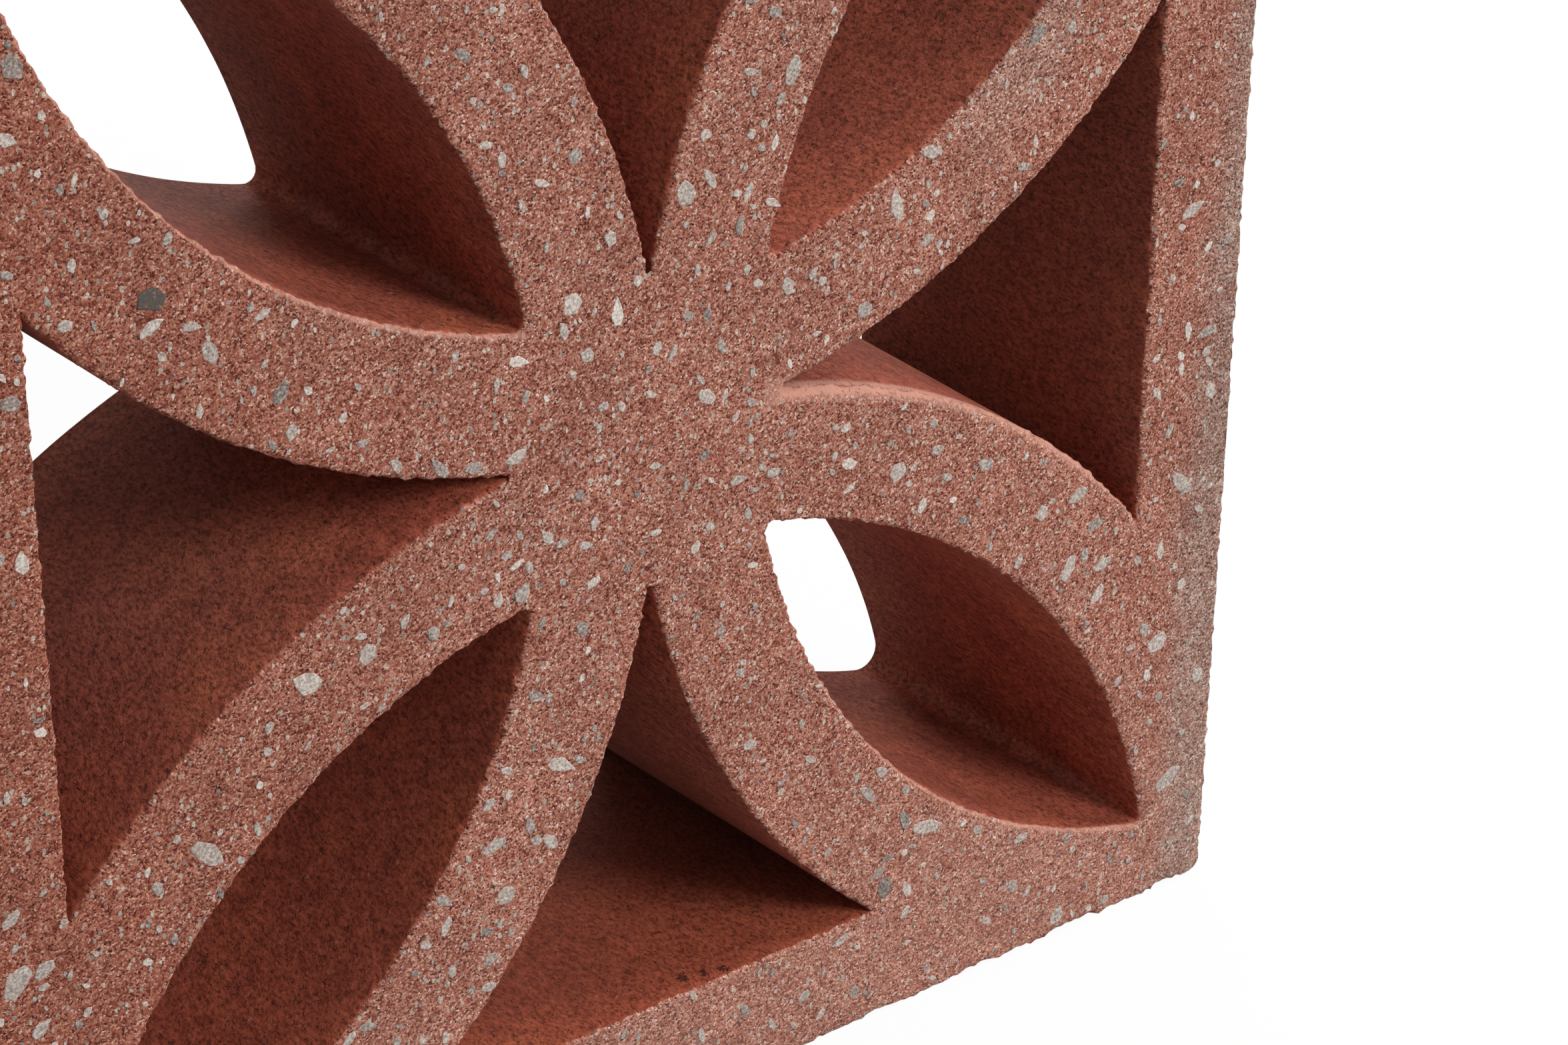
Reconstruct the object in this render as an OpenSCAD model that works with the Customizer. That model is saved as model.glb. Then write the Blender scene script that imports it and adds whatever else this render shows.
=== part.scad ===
// Four-petal screen block, cast in concrete in one piece.
// A square frame holds four curved ribs. Each rib follows a circle whose centre lies just outside
// the middle of one side of the face, and neighbouring circles cross at the block's centre.
// Between the ribs are four petal openings on the diagonals and four side openings on the axes.
// The block stands on its bottom face, with the front face towards -Y and the origin under its middle.

/* [Block] */
// Width and height of the square face
face_w = 290; // [280:1:310]
// Depth from the front face to the rear face
block_d = 84; // [60:1:110]
// Radius of the four long outer corners
corner_r = 3.5; // [2:0.5:8]

/* [Frame] */
// Thickness of the square frame at the front face
frame_t = 24.5; // [20:0.5:28]

/* [Ribs] */
// How far outside the edge of the face each rib circle has its centre
centre_out = 8; // [4:1:12]
// Distance from the middle of the block to the inner tip of each side opening
hub_r = 28; // [22:1:34]
// Thickness of a rib at the front face
rib_t = 26; // [20:0.5:30]

/* [Casting] */
// Width of the worn edge round the front of the block and of every opening
arris = 0.8; // [0.4:0.1:2]
// How much thicker the frame is at the rear, beside a side opening
frame_draft = 1.3; // [0.5:0.1:3]
// How much thicker a rib is at the rear, on its side-opening face
rib_draft = 1.9; // [0.5:0.1:3]
// Radius of the outer tip of each petal opening
petal_tip_r = 2; // [1:0.25:4]

/* [Hidden] */
$fn = 180;
// Cutting shapes reach this far past the faces that they cut
past = 5;
half_w = face_w / 2;
front = block_d / 2;
rear = -block_d / 2;
arc_centre = half_w + centre_out;
// The outer walls of two opposite ribs cross at a side opening's inner tip
side_wall_r = sqrt(pow(arc_centre, 2) + pow(hub_r, 2));
petal_wall_r = side_wall_r - rib_t;
frame_inner = half_w - frame_t;
// The tip's small circle touches both petal walls from inside
tip_reach = petal_wall_r - petal_tip_r;
tip_at = (arc_centre + sqrt(2 * pow(tip_reach, 2) - pow(arc_centre, 2))) / 2;
tip_lean = atan2(tip_at, arc_centre - tip_at);
tip_box = 4 * petal_tip_r + past;

// Everything below lies in the plane of the face: X to the right, Y up, Z out of the front face.

// A round post as deep as the block, worn at its front edge
module worn_post(r) {
    rotate_extrude()
        polygon([[0, rear], [r, rear], [r, front - arris], [r - arris, front], [0, front]]);
}

// A slab as deep as the block, worn along the front edges of its two sides at +X and -X
module worn_slab(w, h) {
    rotate([90, 0, 0])
        linear_extrude(height = h, center = true)
            polygon([
                [-w / 2, rear], [w / 2, rear],
                [w / 2, front - arris], [w / 2 - arris, front],
                [arris - w / 2, front], [-w / 2, front - arris]
            ]);
}

// The outer form of the block before its openings are cut
module cast_blank() {
    post_at = half_w - corner_r;
    worn_slab(face_w, 2 * post_at);
    rotate([0, 0, 90])
        worn_slab(face_w, 2 * post_at);
    for (x = [-post_at, post_at], y = [-post_at, post_at])
        translate([x, y, 0])
            worn_post(corner_r);
}

// A straight round core that flares at the front face by the worn edge
module flared_core(r) {
    rotate_extrude()
        polygon([
            [0, rear - past], [r, rear - past],
            [r, front - arris], [r + arris + past, front + past], [0, front + past]
        ]);
}

// The solid inside the outer wall of a rib, thicker at the rear by the draft
module rib_body() {
    slope = rib_draft / block_d;
    rear_r = side_wall_r + rib_draft + slope * past;
    edge_r = side_wall_r + slope * arris;
    rotate_extrude()
        polygon([
            [0, rear - past], [rear_r, rear - past],
            [edge_r, front - arris], [edge_r - arris - past, front + past], [0, front + past]
        ]);
}

// The corner between the two petal walls beyond the points where the tip's circle touches them
module tip_corner() {
    translate([tip_at, tip_at, 0])
        linear_extrude(height = block_d + 4 * past, center = true)
            polygon([
                [0, 0],
                tip_box * [-cos(tip_lean), sin(tip_lean)],
                tip_box * [1, 1],
                tip_box * [sin(tip_lean), -cos(tip_lean)]
            ]);
}

// The petal opening on the diagonal at +X +Y, whose rounded outer tip stays sharp at the front edge
module petal_opening() {
    difference() {
        intersection() {
            translate([arc_centre, 0, 0])
                flared_core(petal_wall_r);
            translate([0, arc_centre, 0])
                flared_core(petal_wall_r);
        }
        tip_corner();
    }
    translate([tip_at, tip_at, 0])
        cylinder(r = petal_tip_r, h = block_d + 2 * past, center = true);
}

// The side opening at +X, between two ribs and the frame
module side_opening() {
    slope = frame_draft / block_d;
    edge_x = frame_inner - slope * arris;
    difference() {
        rotate([90, 0, 0])
            linear_extrude(height = face_w, center = true)
                polygon([
                    [0, rear - past], [frame_inner - frame_draft - slope * past, rear - past],
                    [edge_x, front - arris], [edge_x + arris + past, front + past], [0, front + past]
                ]);
        for (side = [-1, 1])
            translate([0, side * arc_centre, 0])
                rib_body();
    }
}

module breeze_block() {
    color([0.65, 0.43, 0.38])
        translate([0, 0, half_w])
            rotate([90, 0, 0])
                difference() {
                    cast_blank();
                    for (turn = [0 : 90 : 270])
                        rotate([0, 0, turn]) {
                            petal_opening();
                            side_opening();
                        }
                }
}

breeze_block();
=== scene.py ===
# A four-petal screen block of red concrete with grey stone chips in its face, on a pale floor.
import bpy
import math
import random
from mathutils import Matrix, Vector, noise


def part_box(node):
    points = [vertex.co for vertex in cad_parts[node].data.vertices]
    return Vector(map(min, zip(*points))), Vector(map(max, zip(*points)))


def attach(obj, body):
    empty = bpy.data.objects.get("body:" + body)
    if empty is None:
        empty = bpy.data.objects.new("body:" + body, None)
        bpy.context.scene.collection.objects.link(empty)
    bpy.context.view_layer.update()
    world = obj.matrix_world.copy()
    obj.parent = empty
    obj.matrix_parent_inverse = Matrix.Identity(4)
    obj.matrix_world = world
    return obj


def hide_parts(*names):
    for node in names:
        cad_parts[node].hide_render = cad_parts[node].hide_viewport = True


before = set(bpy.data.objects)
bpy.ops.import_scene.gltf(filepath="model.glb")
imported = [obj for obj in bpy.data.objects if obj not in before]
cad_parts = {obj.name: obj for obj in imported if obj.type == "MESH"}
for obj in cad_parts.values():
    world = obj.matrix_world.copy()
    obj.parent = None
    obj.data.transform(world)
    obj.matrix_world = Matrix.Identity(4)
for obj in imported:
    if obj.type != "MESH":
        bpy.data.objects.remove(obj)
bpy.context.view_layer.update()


# The camera
# A short telephoto close to the upper left of the face, so the block runs out of the picture
# at the top and at the left, as it does in the photograph.
camera_place = Vector((-0.395, -0.562, 0.460))
camera_aim = Vector((0.0302, -0.042, 0.1179))
camera_roll = math.radians(0.78)

camera_data = bpy.data.cameras.new("camera")
camera_data.sensor_width = 36
camera_data.lens = 94.85
camera_data.clip_start = 0.01
camera_data.clip_end = 50
camera = bpy.data.objects.new("camera", camera_data)
bpy.context.scene.collection.objects.link(camera)
looking = (camera_aim - camera_place).to_track_quat("-Z", "Y")
camera.matrix_world = (
    Matrix.Translation(camera_place)
    @ looking.to_matrix().to_4x4()
    @ Matrix.Rotation(camera_roll, 4, "Z")
)
bpy.context.scene.camera = camera


# The blank
# The block before its openings: semi-dry concrete pressed into a steel mould box, so its bed faces
# are flat and its front edge is worn round. The face is a fine net, which later takes the sand.
MM = 0.001


def start_piece(name):
    """Names the primitive just added and puts its place into its mesh."""
    made = bpy.context.object
    made.name = name
    made.data.name = name
    bpy.ops.object.transform_apply(location=True, rotation=True, scale=True)
    return made


def only(piece):
    """Makes one object the selected and active one."""
    bpy.ops.object.select_all(action="DESELECT")
    piece.select_set(True)
    bpy.context.view_layer.objects.active = piece


def grow_rows(rows, centre):
    """Extrudes what is selected through (depth, size) rows, each set back and scaled about the centre."""
    depth, size = rows[0]
    for next_depth, next_size in rows[1:]:
        bpy.ops.mesh.extrude_region_move(
            TRANSFORM_OT_translate={"value": (0, (next_depth - depth) * MM, 0)}
        )
        grown = next_size / size
        if grown != 1:
            bpy.ops.transform.resize(value=(grown, 1, grown), center_override=centre)
        depth, size = next_depth, next_size


# Sizes are in millimetres, and depths are counted back from the face.
low, high = (Vector(corner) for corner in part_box("breeze_block"))
half_w = (high.x - low.x) / 2 / MM
block_d = (high.y - low.y) / MM
middle = Vector((0, low.y, (low.z + high.z) / 2))
corner_r = 3.5
arris = 0.8
sand_depth = 0.25
net_cells = 232
side_depths = (2, 4.5, 11, 28, 56)
# The small rounding at the rear, as distances before the rear face and in from the side
rear_round = ((0.5, 0), (0.15, 0.15), (0, 0.5))

bpy.ops.object.select_all(action="DESELECT")
bpy.ops.mesh.primitive_grid_add(
    x_subdivisions=net_cells,
    y_subdivisions=net_cells,
    size=2 * (half_w - arris) * MM,
    location=middle + Vector((0, sand_depth * MM, 0)),
    rotation=(math.pi / 2, 0, 0),
)
block = start_piece("breeze_block_cast")

# The square net's four corners are drawn in to the mould's round ones.
post_at = half_w - arris - corner_r
for point in block.data.vertices:
    across = abs(point.co.x - middle.x) / MM - post_at
    up = abs(point.co.z - middle.z) / MM - post_at
    if across > 0 and up > 0:
        drawn = max(across, up) / math.hypot(across, up)
        point.co.x = math.copysign(post_at + across * drawn, point.co.x - middle.x) * MM + middle.x
        point.co.z = math.copysign(post_at + up * drawn, point.co.z - middle.z) * MM + middle.z

worn_steps = [math.radians(angle) for angle in (30, 60, 90)]
side_rows = [(sand_depth, half_w - arris)]
side_rows += [
    (sand_depth + arris * (1 - math.cos(turn)), half_w - arris * (1 - math.sin(turn)))
    for turn in worn_steps
]
side_rows += [(depth, half_w) for depth in side_depths]
side_rows += [(block_d - before, half_w - inset) for before, inset in rear_round]

only(block)
bpy.ops.object.mode_set(mode="EDIT")
bpy.ops.mesh.select_mode(type="EDGE")
bpy.ops.mesh.select_all(action="SELECT")
bpy.ops.mesh.region_to_loop()
grow_rows(side_rows, middle)
bpy.ops.mesh.edge_face_add()
bpy.ops.mesh.select_all(action="SELECT")
bpy.ops.mesh.normals_make_consistent(inside=False)
bpy.ops.object.mode_set(mode="OBJECT")


# The petal cores
# The mould's steel cores that leave the petal openings. Each is what two round drums share,
# and flares at the front, where the edge of the opening is worn round.
def combine(piece, other, operation):
    """Cuts, joins or crosses one solid with another, which is used up."""
    only(piece)
    modifier = piece.modifiers.new(operation.lower(), "BOOLEAN")
    modifier.operation = operation
    modifier.solver = "MANIFOLD"
    modifier.object = other
    bpy.ops.object.modifier_apply(modifier=modifier.name)
    bpy.data.objects.remove(other, do_unlink=True)


def select_points(piece, wanted):
    """Selects the points whose place in millimetres from the face's middle passes the test."""
    bpy.ops.object.mode_set(mode="OBJECT")
    for part in (piece.data.vertices, piece.data.edges, piece.data.polygons):
        part.foreach_set("select", [False] * len(part))
    for point in piece.data.vertices:
        point.select = wanted(*((point.co - middle) / MM))
    bpy.ops.object.mode_set(mode="EDIT")
    bpy.ops.mesh.select_mode(type="VERT")
    bpy.ops.mesh.select_mode(type="EDGE")


# The sizes of the pattern, the same as the solid's
centre_out = 8
hub_r = 28
rib_t = 26
frame_t = 24.5
frame_draft = 1.3
rib_draft = 1.9
arc_centre = half_w + centre_out
side_wall_r = math.hypot(arc_centre, hub_r)
petal_wall_r = side_wall_r - rib_t
frame_inner = half_w - frame_t
across_axis = Vector((arc_centre, 0))
up_axis = Vector((0, arc_centre))

# An opening's front edge is worn to a round, which meets the face at this lean. The cores reach past
# both faces of the block.
wear = 1.0
lean = math.radians(55)
past = 3
point_gap = 1.2

# Depths along a core's wall, and the depths and outward shifts of its flare at the worn edge
wall_depths = [block_d + past, block_d, 72, 54, 36, 21, 11, 5, 2.4]
worn_rows = [
    (sand_depth + wear * (1 - math.sin(turn)), wear * (1 - math.cos(turn)))
    for turn in (0, math.radians(30), lean)
]
last_depth, last_shift = worn_rows[-1]
worn_rows.append((-past, last_shift + (last_depth + past) * math.tan(lean)))


def fine_front(piece):
    """Halves the spacing of the points in the rows near the front, where the sand shows."""
    select_points(piece, lambda x, y, z: y < sand_depth + wear + 0.1)
    bpy.ops.mesh.select_mode(type="EDGE")
    bpy.ops.object.mode_set(mode="OBJECT")
    places = piece.data.vertices
    for edge in piece.data.edges:
        start, end = (places[index].co for index in edge.vertices)
        edge.select = edge.select and abs(start.y - end.y) < 0.01 * MM
    bpy.ops.object.mode_set(mode="EDIT")
    bpy.ops.mesh.subdivide(number_cuts=1)
    bpy.ops.object.mode_set(mode="OBJECT")


def drum(name, across, up, rear_r, front_r, flare):
    """A round drum along the depth, its axis at (across, up) millimetres from the face's middle."""
    centre = middle + Vector((across, 0, up)) * MM
    slope = (rear_r - front_r) / block_d
    rows = [(depth, front_r + slope * depth) for depth in wall_depths]
    rows += [(depth, front_r + slope * depth + flare * shift) for depth, shift in worn_rows]
    bpy.ops.object.select_all(action="DESELECT")
    bpy.ops.mesh.primitive_circle_add(
        vertices=round(2 * math.pi * front_r / point_gap),
        radius=rows[0][1] * MM,
        fill_type="NGON",
        location=centre + Vector((0, rows[0][0] * MM, 0)),
        rotation=(math.pi / 2, 0, 0),
    )
    made = start_piece(name)
    bpy.ops.object.mode_set(mode="EDIT")
    bpy.ops.mesh.select_all(action="SELECT")
    grow_rows(rows, centre)
    bpy.ops.mesh.select_all(action="SELECT")
    bpy.ops.mesh.normals_make_consistent(inside=False)
    bpy.ops.object.mode_set(mode="OBJECT")
    fine_front(made)
    return made


petal_core = drum("petal_core", arc_centre, 0, petal_wall_r, petal_wall_r, 1)
combine(petal_core, drum("petal_drum", 0, arc_centre, petal_wall_r, petal_wall_r, 1), "INTERSECT")


# The side cores
# Steel cores with a little draft, narrower at the rear, that leave the side openings: a wedge against
# the frame with the outer walls of two ribs cut away from it.
pocket_half_h = 62
# The core's inner tip is blunt, a little short of where the walls of the two ribs would meet.
blunt_end = 29.9
pocket_points = round(2 * pocket_half_h / point_gap)
frame_slope = -frame_draft / block_d
pocket_rows = [(depth, frame_inner + frame_slope * depth) for depth in wall_depths]
pocket_rows += [(depth, frame_inner + frame_slope * depth + shift) for depth, shift in worn_rows]

bpy.ops.object.select_all(action="DESELECT")
bpy.ops.mesh.primitive_grid_add(
    x_subdivisions=len(pocket_rows) - 1,
    y_subdivisions=pocket_points,
    size=1,
    location=middle,
)
side_core = start_piece("side_core")
for point in side_core.data.vertices:
    row = round((point.co.x + 0.5) * (len(pocket_rows) - 1))
    depth, reach = pocket_rows[row]
    height = (point.co.y - middle.y) * 2 * pocket_half_h
    point.co = middle + Vector((reach, depth, height)) * MM
only(side_core)
bpy.ops.object.mode_set(mode="EDIT")
bpy.ops.mesh.select_all(action="SELECT")
bpy.ops.mesh.extrude_region_move(
    TRANSFORM_OT_translate={"value": (-(frame_inner - blunt_end) * MM, 0, 0)}
)
bpy.ops.mesh.select_all(action="SELECT")
bpy.ops.mesh.normals_make_consistent(inside=False)
bpy.ops.object.mode_set(mode="OBJECT")
fine_front(side_core)
for up in (-arc_centre, arc_centre):
    rib_drum = drum("rib_drum", 0, up, side_wall_r + rib_draft, side_wall_r, -1)
    combine(side_core, rib_drum, "DIFFERENCE")


# The cast block
# One solid piece: the blank with all eight cores drawn out of it. The face has lost its skin, so sand
# stands out all over it and breaks its edges, and the walls keep the smooth skin of the mould.
cores = [petal_core, side_core]
for core in (petal_core, side_core):
    for quarter in (1, 2, 3):
        only(core)
        bpy.ops.object.duplicate()
        bpy.ops.transform.rotate(
            value=quarter * math.pi / 2, orient_axis="Y", center_override=middle
        )
        cores.append(bpy.context.object)
bpy.ops.object.select_all(action="DESELECT")
for core in cores:
    core.select_set(True)
bpy.context.view_layer.objects.active = petal_core
bpy.ops.object.join()
bpy.ops.object.transform_apply(location=True, rotation=True, scale=True)
combine(block, petal_core, "DIFFERENCE")

# Its many-sided faces are made into triangles, and points left almost on each other are merged.
bpy.ops.object.mode_set(mode="EDIT")
bpy.ops.mesh.select_mode(type="FACE")
bpy.ops.mesh.select_all(action="DESELECT")
bpy.ops.mesh.select_face_by_sides(number=4, type="GREATER", extend=False)
bpy.ops.mesh.quads_convert_to_tris(quad_method="BEAUTY", ngon_method="BEAUTY")
bpy.ops.mesh.select_mode(type="VERT")
bpy.ops.mesh.select_all(action="SELECT")
bpy.ops.mesh.remove_doubles(threshold=0.02 * MM)
bpy.ops.object.mode_set(mode="OBJECT")


def smooth(value, start, end):
    """Rises smoothly from 0 at start to 1 at end."""
    part = min(max((value - start) / (end - start), 0), 1)
    return part * part * (3 - 2 * part)


def blend(start, end, part):
    """The value this part of the way from start to end."""
    return start + (end - start) * part


# A petal's tips lie this near its diagonal, the outer ones this far from the middle. Their radii are
# given at the front and at the rear.
tip_band = 12
outer_tips_from = 108
outer_tip_r = (0.8, 4.5)
inner_tip_r = (1.4, 2.4)
off_wall = 0.6


def round_tip(across, up, depth):
    """Rounds the two tips of a petal opening, where the mould core's edge is blunter at the rear."""
    side = Vector((abs(across), abs(up)))
    if abs(side.x - side.y) > tip_band:
        return across, up
    outer = side.length > outer_tips_from
    way = 1 if outer else -1
    tip_r = blend(*(outer_tip_r if outer else inner_tip_r), min(depth / block_d, 1))
    reach = petal_wall_r - tip_r
    at = (arc_centre + way * math.sqrt(2 * reach * reach - arc_centre * arc_centre)) / 2
    centre = Vector((at, at))
    along = Vector((1, 1)).normalized() * way
    touch = (centre - across_axis).normalized()
    out = side - centre
    in_petal = max((side - across_axis).length, (side - up_axis).length)
    if in_petal > petal_wall_r + off_wall:
        return across, up
    if out.normalized().dot(along) < touch.dot(along):
        return across, up
    side = centre + out.normalized() * (tip_r + max(in_petal - petal_wall_r, 0))
    return math.copysign(side.x, across), math.copysign(side.y, up)


# Sizes of the lumps in the surface: single grains, clumps of grains, and the skin's waves
grain_size = 1.15
clump_size = 2.6
ripple_size = 6.5
swell_size = 27
sand_seed = Vector((31.7, 12.4, 57.9))


def raised(spot, out):
    """How far a point stands out: by the sand near the face, most at an edge, or by the skin's waves."""
    grain = noise.noise(spot / grain_size + sand_seed)
    clump = noise.noise(spot / clump_size - sand_seed)
    swell = noise.noise(spot / swell_size + sand_seed)
    ripple = noise.noise(spot / ripple_size - sand_seed)
    at_edge = smooth(1 - abs(out.y), 0.02, 0.4)
    rough = blend(0.16, 0.46, at_edge) * grain + blend(0.10, 0.38, at_edge) * clump
    skin = 0.14 * swell + 0.05 * ripple
    return blend(skin, rough, 1 - smooth(spot.y, 0.9, 2.2))


def edge_loss(spot):
    """How much sand is gone from the block's long outer edges, from the lower one in steps."""
    gap = half_w - max(abs(spot.x), abs(spot.z))
    lost = 0.18 + 0.32 * noise.noise(spot / 1.5 + 2 * sand_seed)
    if spot.z < 2 - half_w:
        lost += 0.55 * smooth(noise.noise(Vector((spot.x / 15, 3.3, 7.7))), -0.05, 0.05)
    return max(lost, 0) * (1 - smooth(gap, 0.4, 1.6)) * (1 - smooth(spot.y, 1.6, 3.4))


# The worn strip on top of the lower right rib: where it starts, its widths there and further out,
# where it narrows from the one to the other, and where it dies away
rib_axis = Vector((0, -arc_centre))
strip_start = 26
strip_low = -80
strip_widths = (3.0, 1.1)
strip_narrows = (34, 78)
strip_ends = (100, 120)
# The lowest opening's floor gets no painted highlight. It lies below this height, as far across as this.
floor_top = -116
floor_end = 62
# The outer edges lose sand in a band of this width, and the highest grains stand this little behind
# the block's front plane.
edge_band = 1.7
grain_top = 0.03

outward = [point.normal.copy() for point in block.data.vertices]
dust = []
for point, out in zip(block.data.vertices, outward):
    across, depth, up = (point.co - middle) / MM
    if 0.1 < depth < block_d + 1:
        across, up = round_tip(across, up, depth)
    spot = Vector((across, depth, up))
    moved = out * raised(spot, out)

    lost = edge_loss(spot)
    moved.y += 0.5 * lost
    if half_w - abs(across) < edge_band:
        moved.x -= math.copysign(lost, across)
    if half_w - abs(up) < edge_band:
        moved.z -= math.copysign(lost, up)

    # The strip has lost most along the rib's own edge.
    from_arc = side_wall_r - (spot.xz - rib_axis).length
    wide = blend(*strip_widths, smooth(across, *strip_narrows)) * (1 - smooth(across, *strip_ends))
    on_rib = across > strip_start and up > strip_low and wide > 0.2
    if on_rib and across > strip_start + 3 and -1.2 <= from_arc < wide and depth < 1.6:
        fallen = (1 - max(from_arc, 0) / wide) ** 1.2
        moved.y += (0.6 + 0.18 * wide) * fallen * (1 - smooth(depth, 0.5, 1.6))

    # A pale painted highlight lies on that strip, and thinly on the edges that face up in two of the
    # petals.
    in_petals = across * up < 0 and (across > 0 or abs(across) > abs(up))
    on_floor = up < floor_top and across < floor_end
    if on_rib and -2.2 < from_arc < wide + 1.2:
        dust.append((1 - smooth(from_arc, 0.5 * wide, wide + 0.8)) * (1 - smooth(depth, 1.5, 5)))
    elif in_petals and not on_floor:
        dust.append(0.8 * smooth(out.z, 0.12, 0.4) * (1 - smooth(depth, 0.6, 1.6)))
    else:
        dust.append(0)

    spot += moved
    spot.x = min(max(spot.x, -half_w), half_w)
    spot.y = min(max(spot.y, grain_top), block_d)
    spot.z = min(max(spot.z, -half_w), half_w)
    point.co = middle + spot * MM
block.data.update()
block.data.attributes.new("dust", "FLOAT", "POINT").data.foreach_set("value", dust)

only(block)
bpy.ops.object.shade_smooth_by_angle(angle=math.radians(42))
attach(block, "root")
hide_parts("breeze_block")


# The concrete of the block
# Red pigmented cement with brick-coloured sand. On the face the sand is bare, in grains of every shade
# from dark brown to near white. The walls, sides and rear keep a smooth skin of cement from the mould.
class Signal:
    """A socket of a material. Sums written with it add the maths nodes that work them out."""

    def __init__(self, tree, socket):
        self.tree = tree
        self.socket = socket

    def node(self, kind, settings, inputs, output=0):
        """Adds any node. Settings are set first, then its sockets get values or other signals."""
        made = self.tree.nodes.new(kind)
        for name, setting in settings.items():
            if name == "stops":
                stops = made.color_ramp.elements
                for _ in setting[2:]:
                    stops.new(0.5)
                for stop, (position, colour) in zip(stops, setting):
                    stop.position = position
                    stop.color = colour
            else:
                setattr(made, name, setting)
        for name, value in inputs.items():
            if isinstance(value, Signal):
                self.tree.links.new(value.socket, made.inputs[name])
            else:
                made.inputs[name].default_value = value
        return Signal(self.tree, made.outputs[output])

    def maths(self, operation, *others):
        """Any operation of the maths node on this signal and the others."""
        values = dict(enumerate((self,) + others))
        return self.node("ShaderNodeMath", {"operation": operation}, values)

    def __add__(self, other):
        return self.maths("ADD", other)

    def __sub__(self, other):
        return self.maths("SUBTRACT", other)

    def __mul__(self, other):
        return self.maths("MULTIPLY", other)

    def __truediv__(self, other):
        return self.maths("DIVIDE", other)

    def __rsub__(self, other):
        return self.node("ShaderNodeMath", {"operation": "SUBTRACT"}, {0: other, 1: self})

    __radd__ = __add__
    __rmul__ = __mul__

    def rise(self, start, end):
        """0 below start and 1 above end, smooth between; the other way round if start is more."""
        return self.node(
            "ShaderNodeMapRange",
            {"interpolation_type": "SMOOTHSTEP"},
            {"Value": self, "From Min": start, "From Max": end},
        )

    def scaled(self, factors):
        """This place with each of its directions multiplied."""
        return self.node("ShaderNodeVectorMath", {"operation": "MULTIPLY"}, {0: self, 1: factors})

    def shifted(self, other):
        """This place moved along."""
        return self.node("ShaderNodeVectorMath", {"operation": "ADD"}, {0: self, 1: other})

    def cloud(self, size, detail=2.0, rough=0.5, output=0):
        """Soft noise around 0.5 whose lumps are about this many millimetres."""
        return self.node(
            "ShaderNodeTexNoise",
            {},
            {"Vector": self, "Scale": 1 / size, "Detail": detail, "Roughness": rough},
            output,
        )

    def grains(self, size, room="2D"):
        """Packed grains of this size: how near each place is to its grain, and the grain's own colour."""
        near = self.node(
            "ShaderNodeTexVoronoi",
            {"voronoi_dimensions": room},
            {"Vector": self, "Scale": 1 / size},
        )
        return near, Signal(self.tree, near.socket.node.outputs["Color"])

    def part(self, letter):
        """One direction of a place, or one channel of a grain's colour."""
        return self.node("ShaderNodeSeparateXYZ", {}, {0: self}, "XYZ".index(letter))

    def shades(self, stops):
        """The colour that a ramp with these stops gives to this number."""
        return self.node("ShaderNodeValToRGB", {"stops": stops}, {0: self})

    def over(self, base, share):
        """This colour laid over a base colour, by a share from 0 to 1."""
        return self.node(
            "ShaderNodeMix", {"data_type": "RGBA"}, {0: share, 6: base, 7: self}, 2
        )

    def under(self, colour, share):
        """This colour with a plain one laid over it, by a share from 0 to 1."""
        return self.node(
            "ShaderNodeMix", {"data_type": "RGBA"}, {0: share, 6: self, 7: colour}, 2
        )

    def times(self, colour):
        """This colour darkened by another, where white leaves it as it is."""
        return self.node(
            "ShaderNodeMix",
            {"data_type": "RGBA", "blend_type": "MULTIPLY"},
            {0: 1.0, 6: self, 7: colour},
            2,
        )


def tone(red, green, blue):
    """A colour as a screen shows it, from 0 to 255, made linear."""
    def linear(value):
        value /= 255
        return value / 12.92 if value < 0.04045 else ((value + 0.055) / 1.055) ** 2.4
    return (linear(red), linear(green), linear(blue), 1)


white = tone(255, 255, 255)


def new_material(name):
    """A material, its shader, and each place on the piece in millimetres from the piece's origin."""
    material = bpy.data.materials.new(name)
    material.use_nodes = True
    tree = material.node_tree
    shader = tree.nodes["Principled BSDF"]
    shader.inputs["Specular IOR Level"].default_value = 0.2
    place = Signal(tree, None).node("ShaderNodeTexCoord", {}, {}, "Object")
    return material, shader, place.scaled((1 / MM, 1 / MM, 1 / MM))


def finish_material(shader, colour, roughness, height, relief):
    """Puts the colour, roughness and relief in millimetres on the shader."""
    bump = height.node(
        "ShaderNodeBump", {}, {"Height": height * (relief * MM), "Distance": 1.0, "Strength": 1.0}
    )
    for name, signal in (("Base Color", colour), ("Roughness", roughness), ("Normal", bump)):
        signal.tree.links.new(signal.socket, shader.inputs[name])


concrete, skin_shader, place = new_material("red_concrete")
tree = concrete.node_tree
depth = place.part("Y") + block_d / 2
across = place.part("X")
up = place.part("Z") - half_w


def squared_from(point_across, point_up):
    """The square of each place's distance from a point, as seen from the front."""
    aside = across - point_across
    above = up - point_up
    return aside * aside + above * above


# Small random shifts, which keep the borders of marks from looking drawn
bend = place.cloud(0.6, 1, 0.6, 1).shifted((-0.5, -0.5, -0.5))
# The painted highlight on the worn edges that face up, kept on the mesh
dust = place.node("ShaderNodeAttribute", {"attribute_name": "dust"}, {}, 2)
highlit = (dust + bend.part("X") * 0.4).rise(0.1, 0.8)

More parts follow.
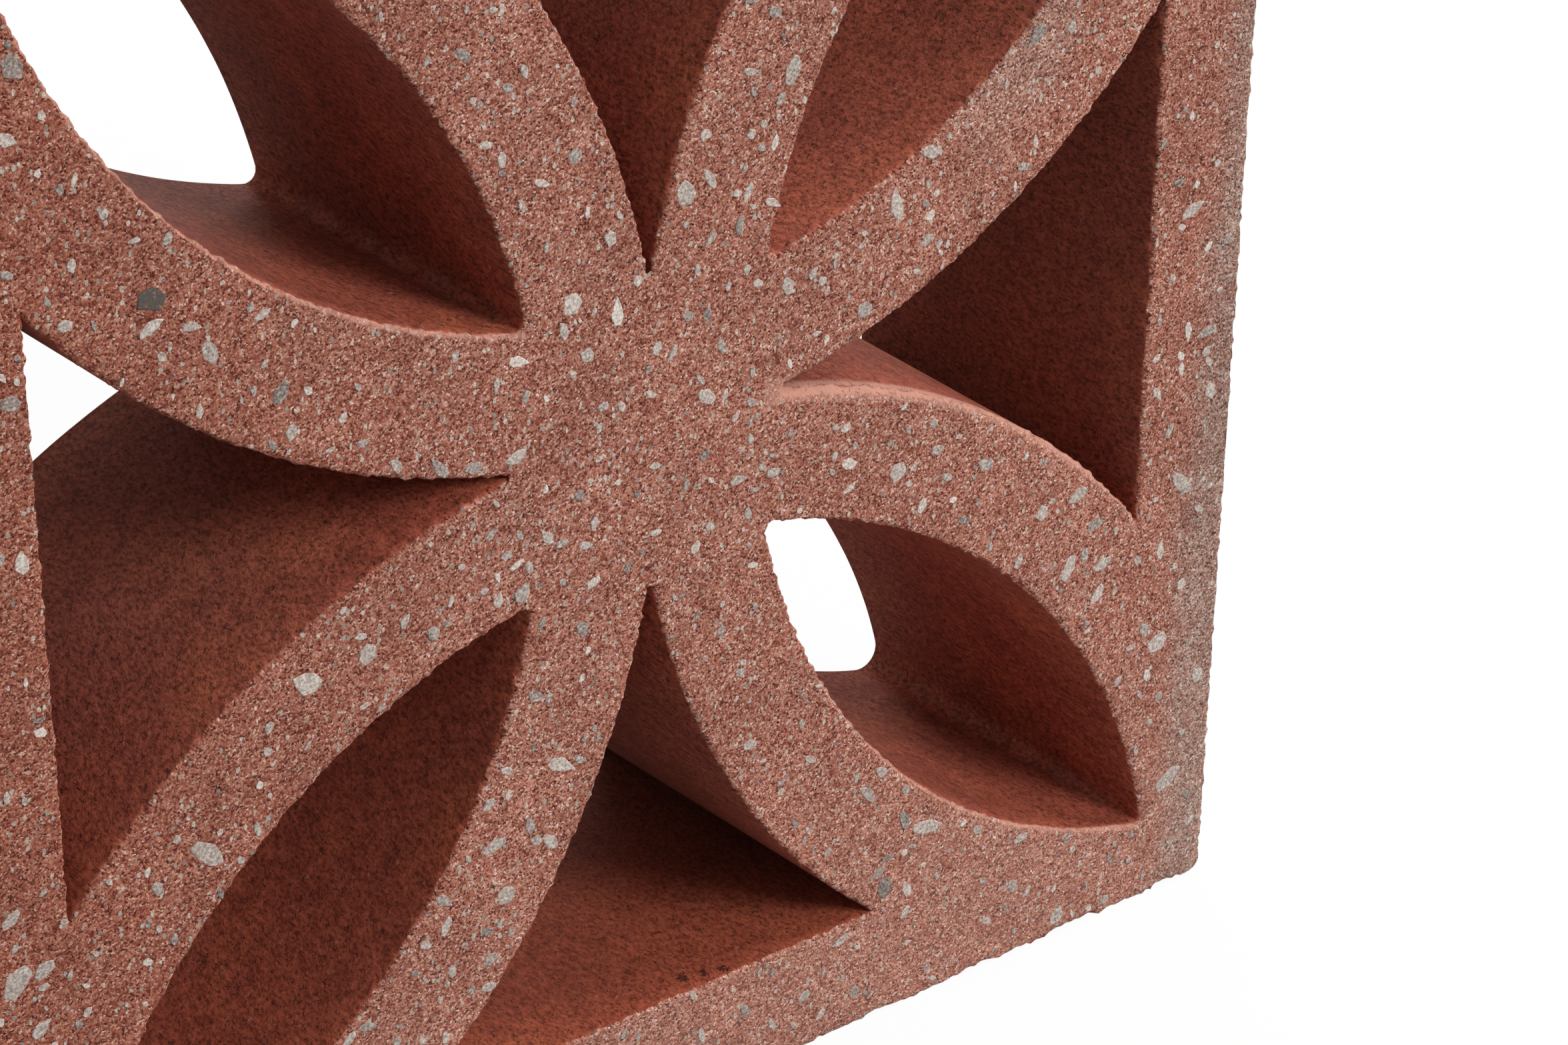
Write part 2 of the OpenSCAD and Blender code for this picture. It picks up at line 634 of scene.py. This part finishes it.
# The bare sand of the face, in grains of two sizes laid out in the plane of the face
coarse_grain = 0.55
fine_grain = 0.32
on_face = place.node(
    "ShaderNodeCombineXYZ", {}, {0: place.part("X"), 1: place.part("Z")}
).shifted(bend.scaled((0.4, 0.4, 0.4)))
coarse_near, coarse = on_face.grains(coarse_grain)
fine_near, fine = on_face.shifted((37.3, 52.1, 0)).grains(fine_grain)
sand_shades = [
    (0.00, tone(72, 20, 10)),
    (0.12, tone(124, 57, 41)),
    (0.34, tone(168, 100, 79)),
    (0.62, tone(194, 130, 110)),
    (0.82, tone(212, 154, 134)),
    (0.93, tone(227, 184, 166)),
    (1.00, tone(250, 229, 215)),
]
sand = fine.part("X").shades(sand_shades).over(
    coarse.part("X").shades(sand_shades), fine.part("Y").rise(0.15, 0.5)
)
# Soft changes of colour, as the cement was not quite evenly mixed
patches = place.cloud(22, 1)
blots = place.shifted((40.0, 0.0, 0.0)).cloud(5, 2, 0.6)
sand = sand.times(blots.shades([(0.34, tone(238, 229, 227)), (0.62, white)]))
sand = sand.times(patches.shades([(0.36, tone(241, 240, 240)), (0.62, white)]))
# Painted shade and light across the face: darker towards its top, paler at its foot, and darker and
# redder at its left
height_up = up / (2 * half_w) + 0.5
sand = sand.times(height_up.shades([
    (0.05, white),
    (0.40, tone(237, 235, 234)),
    (0.90, tone(226, 224, 223)),
]))
sand = sand.under(tone(202, 168, 153), height_up.rise(0.24, 0.04) * 0.1)
# Painted shade at the left edge, redder there, and a little at the right edge
from_left = across / (2 * half_w) + 0.5
sand = sand.times(from_left.shades([
    (0.1, tone(242, 226, 218)),
    (0.4, white),
    (0.9, white),
    (1.0, tone(244, 240, 238)),
]))
# Small holes where a grain has fallen out, painted dark as the shade in them
is_gap = coarse.part("Z").rise(0.945, 0.96) * (coarse_near + bend.part("Z") * 0.4).rise(0.5, 0.25)
sand = sand.under(tone(52, 20, 13), is_gap * 0.8)
# Fine grey grit
grit_near, grit = on_face.shifted((3.1, 19.4, 0)).scaled((1.0, 0.7, 1.0)).grains(1.0)
is_grit = grit.part("X").rise(0.90, 0.94) * (grit_near + bend.part("X") * 0.5).rise(0.40, 0.28)
grit_shades = grit.part("Y").shades([(0.0, tone(130, 118, 108)), (1.0, tone(200, 188, 176))])
sand = grit_shades.over(sand, is_grit)
# Grey weathering along the right edge of the face, wider low down, and below the upper right petal
stain = (across + patches * 14 + up.rise(10, -60) * 6).rise(140, 152) * (0.25 + blots * 0.8)
grey_patch = (80, 54)
from_patch = squared_from(*grey_patch) + patches * 500
stain = stain.maths("MAXIMUM", from_patch.rise(800, 250) * 0.42)
greyed = sand.node(
    "ShaderNodeHueSaturation", {},
    {"Hue": 0.52, "Saturation": 0.62, "Value": 0.92, "Color": sand},
)
# A pale painted highlight on the worn edges, thinner on the sand than on the skin
highlight_tone = tone(204, 154, 136)
sand = greyed.over(sand, stain).under(highlight_tone, highlit * 0.4)
sand_shader = tree.nodes.new("ShaderNodeBsdfPrincipled")
sand_shader.inputs["Specular IOR Level"].default_value = 0.3
sand_height = coarse_near * -0.6 - fine_near * 0.4
finish_material(sand_shader, sand, 0.92 - is_grit * 0.2, sand_height, 0.34)

# The smooth skin of the walls, with pits where air was caught against the mould. Its marks are drawn
# out along the depth, the way the cores were pulled.
swirl = place.cloud(21, 4, 0.62)
drawn = place.scaled((1.0, 0.55, 1.0))
grain = drawn.cloud(0.7, 3, 0.7)
skin = swirl.shades([
    (0.30, tone(175, 93, 73)),
    (0.50, tone(190, 104, 81)),
    (0.70, tone(206, 117, 85)),
])
mottle = drawn.shifted((0.0, 30.0, 0.0)).cloud(2.6, 4, 0.7)
skin = skin.times(mottle.shades([(0.34, tone(214, 202, 198)), (0.62, tone(255, 253, 252))]))
hollows = drawn.shifted((60.0, 0.0, 0.0)).cloud(0.9, 2, 0.6)
voids_near, voids = place.shifted(bend.scaled((2.5, 2.5, 2.5))).grains(3.6, "3D")
is_void = voids.part("X").rise(0.70, 0.74) * (voids_near + voids.part("Z") * 0.12).rise(0.24, 0.16)
is_pit = hollows.rise(0.40, 0.33).maths("MAXIMUM", is_void)
# The outer sides have more open pits, and a pale bloom of lime
far_out = across.maths("ABSOLUTE").maths("MAXIMUM", up.maths("ABSOLUTE"))
outside = far_out.rise(half_w - 2.2, half_w - 0.6)
# The pits are painted dark, as the shade in them
skin = skin.under(tone(78, 33, 26), is_pit * (outside * 0.3 + 0.4))
bloom = place.shifted((0.0, 0.0, 80.0)).cloud(24, 6, 0.74).rise(0.42, 0.70) * (grain + 0.3)
skin = skin.under(tone(192, 140, 122), bloom * outside * 0.22)
# A pale or dark grain of sand shows through the skin here and there
grain_near, grain_kind = place.shifted(bend).grains(1.5, "3D")
shows = grain_near.rise(0.34, 0.22)
skin = skin.under(tone(206, 160, 142), shows * grain_kind.part("X").rise(0.93, 0.95) * 0.4)
skin = skin.under(tone(92, 44, 34), shows * grain_kind.part("Y").rise(0.90, 0.92) * 0.5)
# A painted highlight, paler where the two walls of a petal meet, and painted light from behind, a grey
# film on the petals that grows towards the rear, with a thin film all through the upper right petal
off_crease = (across.maths("ABSOLUTE") - up.maths("ABSOLUTE")).maths("ABSOLUTE")
in_block = depth.rise(block_d - 0.2, block_d - 1) * far_out.rise(138, 132)
inside = in_block * off_crease.rise(60, 40)
beside = in_block * off_crease.rise(40, 60)
crease_highlight = (off_crease + bend.part("Z") * 3).rise(4.2, 0.4) * depth.rise(2, 14) * blots.rise(0.25, 0.6)
floor_side = across.maths("SIGN") * (up.maths("ABSOLUTE") - across.maths("ABSOLUTE"))
rear_light_and_film = depth.rise(38, 84) * (floor_side.rise(6, -6) * 0.13 + 0.05)
rear_light_and_film = rear_light_and_film + across.rise(0, 4) * up.rise(0, 4) * 0.1
skin = skin.under(tone(185, 139, 126), inside * rear_light_and_film.maths("MAXIMUM", crease_highlight * 0.34))
# A thin grey film in the side openings, growing towards the rear as painted light from behind, but for
# the top of the lower right rib and the floor of the lowest opening, which is redder
from_rib = squared_from(0, -arc_centre).maths("SQRT") - side_wall_r
on_rib = from_rib.maths("ABSOLUTE").rise(4.5, 2.5) * across.rise(strip_start - 6, strip_start)
on_rib = on_rib * up.rise(strip_low - 10, strip_low + 10)
is_foot = up.rise(floor_top, floor_top - 3)
walls = beside * (1 - is_foot) * (1 - on_rib)
skin = skin.under(tone(168, 126, 114), walls * (depth.rise(0, 50) * 0.15 + 0.12))
skin = skin.under(tone(153, 73, 47), beside * is_foot * 0.5)
# Three small holes on that floor, near its front edge: how far across, how deep in and how narrow
floor_holes = ((10.4, 4.9, 0.7), (14.8, 3.6, 1.5), (18.6, 2.6, 1.1))
holes = []
for hole_across, hole_depth, narrow in floor_holes:
    aside = across - hole_across + bend.part("X") * 3
    behind = (depth - hole_depth + bend.part("Z") * 3) * 0.6
    holes.append((aside * aside + behind * behind) * narrow)
near_hole = holes[0].maths("MINIMUM", holes[1]).maths("MINIMUM", holes[2])
is_hole = is_foot * near_hole.rise(0.8, 0.1)
# The holes are painted dark, as the shade in them
skin = skin.under(tone(52, 18, 12), is_hole * 0.8)
# Painted shade on the walls that get the least light
painted_wall_shade = walls * across.rise(2, 14) * up.rise(70, 50)
painted_wall_shade = painted_wall_shade + inside * floor_side.rise(6, -6) * across.rise(0, -4) * up.rise(0, 4)
skin = skin.under(tone(66, 32, 28), painted_wall_shade * 0.22)
# Painted shadow deep in the left and the lowest openings, close under the ribs, and at the rear of the
# lowest floor
under_left = squared_from(0, arc_centre).maths("SQRT") - side_wall_r
under_right = squared_from(arc_centre, 0).maths("SQRT") - side_wall_r
painted_shadow = under_left.rise(18, 0) * walls * across.rise(-18, -26)
painted_shadow = (painted_shadow + under_right.rise(22, 0) * beside * is_foot) * depth.rise(2, 36)
painted_shadow = painted_shadow.maths("MAXIMUM", beside * is_foot * depth.rise(30, 84) * 0.5)
skin = skin.under(tone(38, 18, 14), painted_shadow * 0.5)
# The skin's own fine grit, and the pale painted highlight on the worn edges that face up
skin = skin.times(grain.shades([(0.36, tone(181, 168, 162)), (0.60, tone(255, 252, 250))]))
skin = skin.under(highlight_tone, highlit * 0.7)
skin_height = grain * 0.6 + mottle * 1.2 - is_pit * 0.9 - is_hole * 2
finish_material(skin_shader, skin, 0.9 - highlit * 0.1, skin_height, 0.34)

# Sand in front of the depth where the skin begins, and skin behind it
bare = (depth + bend.part("Y") * 0.6 + dust * 0.1).rise(0.84, 0.70)
both = bare.node(
    "ShaderNodeMixShader", {},
    {0: bare, 1: Signal(tree, skin_shader.outputs[0]), 2: Signal(tree, sand_shader.outputs[0])},
)
tree.links.new(both.socket, tree.nodes["Material Output"].inputs["Surface"])
block.data.materials.clear()
block.data.materials.append(concrete)


# The stone chips
# Crushed grey limestone in the concrete mix, mostly of 1 to 5 mm, bared on the face with the sand.
# Each is an angular flat stone, set into the face so that its top stands level with the highest grains.
chip_count = 780
stone_shapes = 12
stone_flat = 0.5
smallest_chip = 1.3
largest_chip = 5.4
thickest_chip = 2.2
chip_top = 0.09
# The one large dark stone, near the left edge
dark_stone = Vector((-98, 52))
dark_size = 5.0
dark_turn = 0.3
dark_long_by = 1.25
dark_shade = -0.8

random.seed(21)
stones = []
for _ in range(stone_shapes):
    corners = random.choice((5, 5, 6, 6, 7))
    bpy.ops.object.select_all(action="DESELECT")
    bpy.ops.mesh.primitive_cone_add(
        vertices=corners, radius1=0.58, radius2=0.52, depth=stone_flat, rotation=(math.pi / 2, 0, 0),
    )
    stone = start_piece("stone_shape")
    reaches = [random.uniform(0.66, 1.18) for _ in range(corners)]
    for point in stone.data.vertices:
        corner = round(math.atan2(point.co.z, point.co.x) / (2 * math.pi) * corners) % corners
        point.co.x *= reaches[corner]
        point.co.z *= reaches[corner]
    bpy.ops.object.mode_set(mode="EDIT")
    bpy.ops.mesh.select_all(action="SELECT")
    bpy.ops.mesh.bevel(offset=0.035, segments=1, affect="EDGES")
    bpy.ops.mesh.select_all(action="SELECT")
    bpy.ops.mesh.normals_make_consistent(inside=False)
    bpy.ops.object.mode_set(mode="OBJECT")
    stones.append(stone)


def clear_of_edges(across, up):
    """Distance from a place on the face to the nearest edge of an opening or of the block."""
    side = Vector((abs(across), abs(up)))
    petal = max((side - across_axis).length, (side - up_axis).length) - petal_wall_r
    beside = max(side.x - frame_inner, side_wall_r - (side - up_axis).length)
    above = max(side.y - frame_inner, side_wall_r - (side - across_axis).length)
    return min(petal, beside, above, half_w - 1 - max(side.x, side.y))


placed = []
chips = []
while len(placed) < chip_count:
    size = min(smallest_chip + random.expovariate(1), largest_chip)
    spot = Vector((random.uniform(-half_w, half_w), random.uniform(-half_w, half_w)))
    turn = random.uniform(0, 2 * math.pi)
    if not placed:
        size, spot, turn = dark_size, dark_stone, dark_turn
    if clear_of_edges(*spot) < 0.5 * size + 0.25:
        continue
    if any((spot - other).length < 0.55 * (size + other_size) for other, other_size in placed):
        continue
    placed.append((spot, size))
    long_by = random.uniform(1.05, 2.3) ** 0.5 if chips else dark_long_by
    chip = bpy.data.objects.new("chip", random.choice(stones).data.copy())
    bpy.context.scene.collection.objects.link(chip)
    thick = min(0.9 * size, thickest_chip)
    sunk = chip_top + stone_flat * thick / 2
    chip.matrix_world = (
        Matrix.Translation(middle + Vector((spot.x, sunk, spot.y)) * MM)
        @ Matrix.Rotation(turn, 4, "Y")
        @ Matrix.Rotation(random.gauss(0, 0.05), 4, "X")
        @ Matrix.Diagonal(Vector((size * long_by * MM, thick * MM, size / long_by * MM, 1)))
    )
    shade = chip.data.attributes.new("stone_shade", "FLOAT", "POINT")
    grey = min(max(random.gauss(0.5, 0.22), 0), 1) if chips else dark_shade
    shade.data.foreach_set("value", [grey] * len(chip.data.vertices))
    chips.append(chip)
for stone in stones:
    bpy.data.objects.remove(stone, do_unlink=True)
bpy.ops.object.select_all(action="DESELECT")
for chip in chips:
    chip.select_set(True)
bpy.context.view_layer.objects.active = chips[0]
bpy.ops.object.join()
stone_chips = start_piece("stone_chips")
for point in stone_chips.data.vertices:
    point.co.y = max(point.co.y, low.y + grain_top * MM)

# Speckled grey stone, each chip in its own shade, with a film of red cement left on parts of it
limestone, shader, place = new_material("grey_limestone")
shade = place.node("ShaderNodeAttribute", {"attribute_name": "stone_shade"}, {}, 2)
speckle = place.cloud(0.6, 3, 0.75)
stone_grey = (shade * 0.6 + speckle * 2.1 - 0.80).shades([
    (0.00, tone(84, 77, 72)),
    (0.30, tone(138, 127, 120)),
    (0.60, tone(180, 167, 158)),
    (1.00, tone(226, 215, 205)),
])
cement = place.shifted((5.0, 5.0, 5.0)).cloud(0.9, 3, 0.7).rise(0.58, 0.64)
stone_grey = stone_grey.under(tone(164, 112, 96), cement * 0.6)
finish_material(shader, stone_grey, 0.75 + speckle * 0.2, speckle, 0.22)
stone_chips.data.materials.clear()
stone_chips.data.materials.append(limestone)
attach(stone_chips, "root")


# The studio
# A pale floor and a white surround, with broad soft lamps in front, at the right and, weaker, behind.
bpy.ops.object.select_all(action="DESELECT")
bpy.ops.mesh.primitive_plane_add(size=6, location=(0, 0, low.z))
floor = start_piece("floor")
paper = bpy.data.materials.new("pale_paper")
paper.use_nodes = True
paper_tree = paper.node_tree
paper_tree.nodes.remove(paper_tree.nodes["Principled BSDF"])
seen = Signal(paper_tree, None).node("ShaderNodeLightPath", {}, {}, "Is Camera Ray")
# The camera sees the paper nearly white, with a light shadow, and the block gets a dimmer light off it
bounce_tone = (0.45, 0.45, 0.45, 1)
paper_tone = (0.8, 0.8, 0.8, 1)
pale = seen.node("ShaderNodeMix", {"data_type": "RGBA"}, {0: seen, 6: bounce_tone, 7: paper_tone}, 2)
matt = seen.node("ShaderNodeBsdfDiffuse", {}, {"Color": pale})
glow = matt.node("ShaderNodeEmission", {}, {"Color": white, "Strength": 1.0})
shown = matt.node("ShaderNodeMixShader", {}, {0: seen * 0.94, 1: matt, 2: glow})
paper_tree.links.new(shown.socket, paper_tree.nodes["Material Output"].inputs["Surface"])
floor.data.materials.append(paper)

# The surround is white to the camera and in reflections, and lights the block more weakly
soft_light = 0.36
world = bpy.data.worlds.new("surround")
bpy.context.scene.world = world
world.use_nodes = True
background = world.node_tree.nodes["Background"]
background.inputs["Color"].default_value = white
path = Signal(world.node_tree, None).node("ShaderNodeLightPath", {}, {}, "Is Camera Ray")
glossy = path.node("ShaderNodeLightPath", {}, {}, "Is Glossy Ray")
through = path.node("ShaderNodeLightPath", {}, {}, "Is Transmission Ray")
seen = path.maths("MAXIMUM", glossy).maths("MAXIMUM", through)
strength = soft_light + seen * (1 - soft_light)
world.node_tree.links.new(strength.socket, background.inputs["Strength"])

# Each lamp with its turn from the front towards the right, its lift in degrees, and its watts
lamp_size = 0.5
lamp_away = 1.1
lamp_aim = Vector((0, 0, 0.15))
for name, turn, lift, power in (
    ("key_lamp", 15, 31, 8.2),
    ("side_lamp", 80, 42, 7.0),
    ("rear_lamp", 150, 10, 4.4),
):
    lamp_data = bpy.data.lights.new(name, "AREA")
    lamp_data.shape = "DISK"
    lamp_data.size = lamp_size
    lamp_data.energy = power
    lamp = bpy.data.objects.new(name, lamp_data)
    bpy.context.scene.collection.objects.link(lamp)
    turn, lift = math.radians(turn), math.radians(lift)
    away = Vector((
        math.sin(turn) * math.cos(lift), -math.cos(turn) * math.cos(lift), math.sin(lift)
    ))
    lamp.location = lamp_aim + lamp_away * away
    lamp.rotation_euler = (-away).to_track_quat("-Z", "Y").to_euler()

bpy.context.scene.view_settings.view_transform = "Standard"
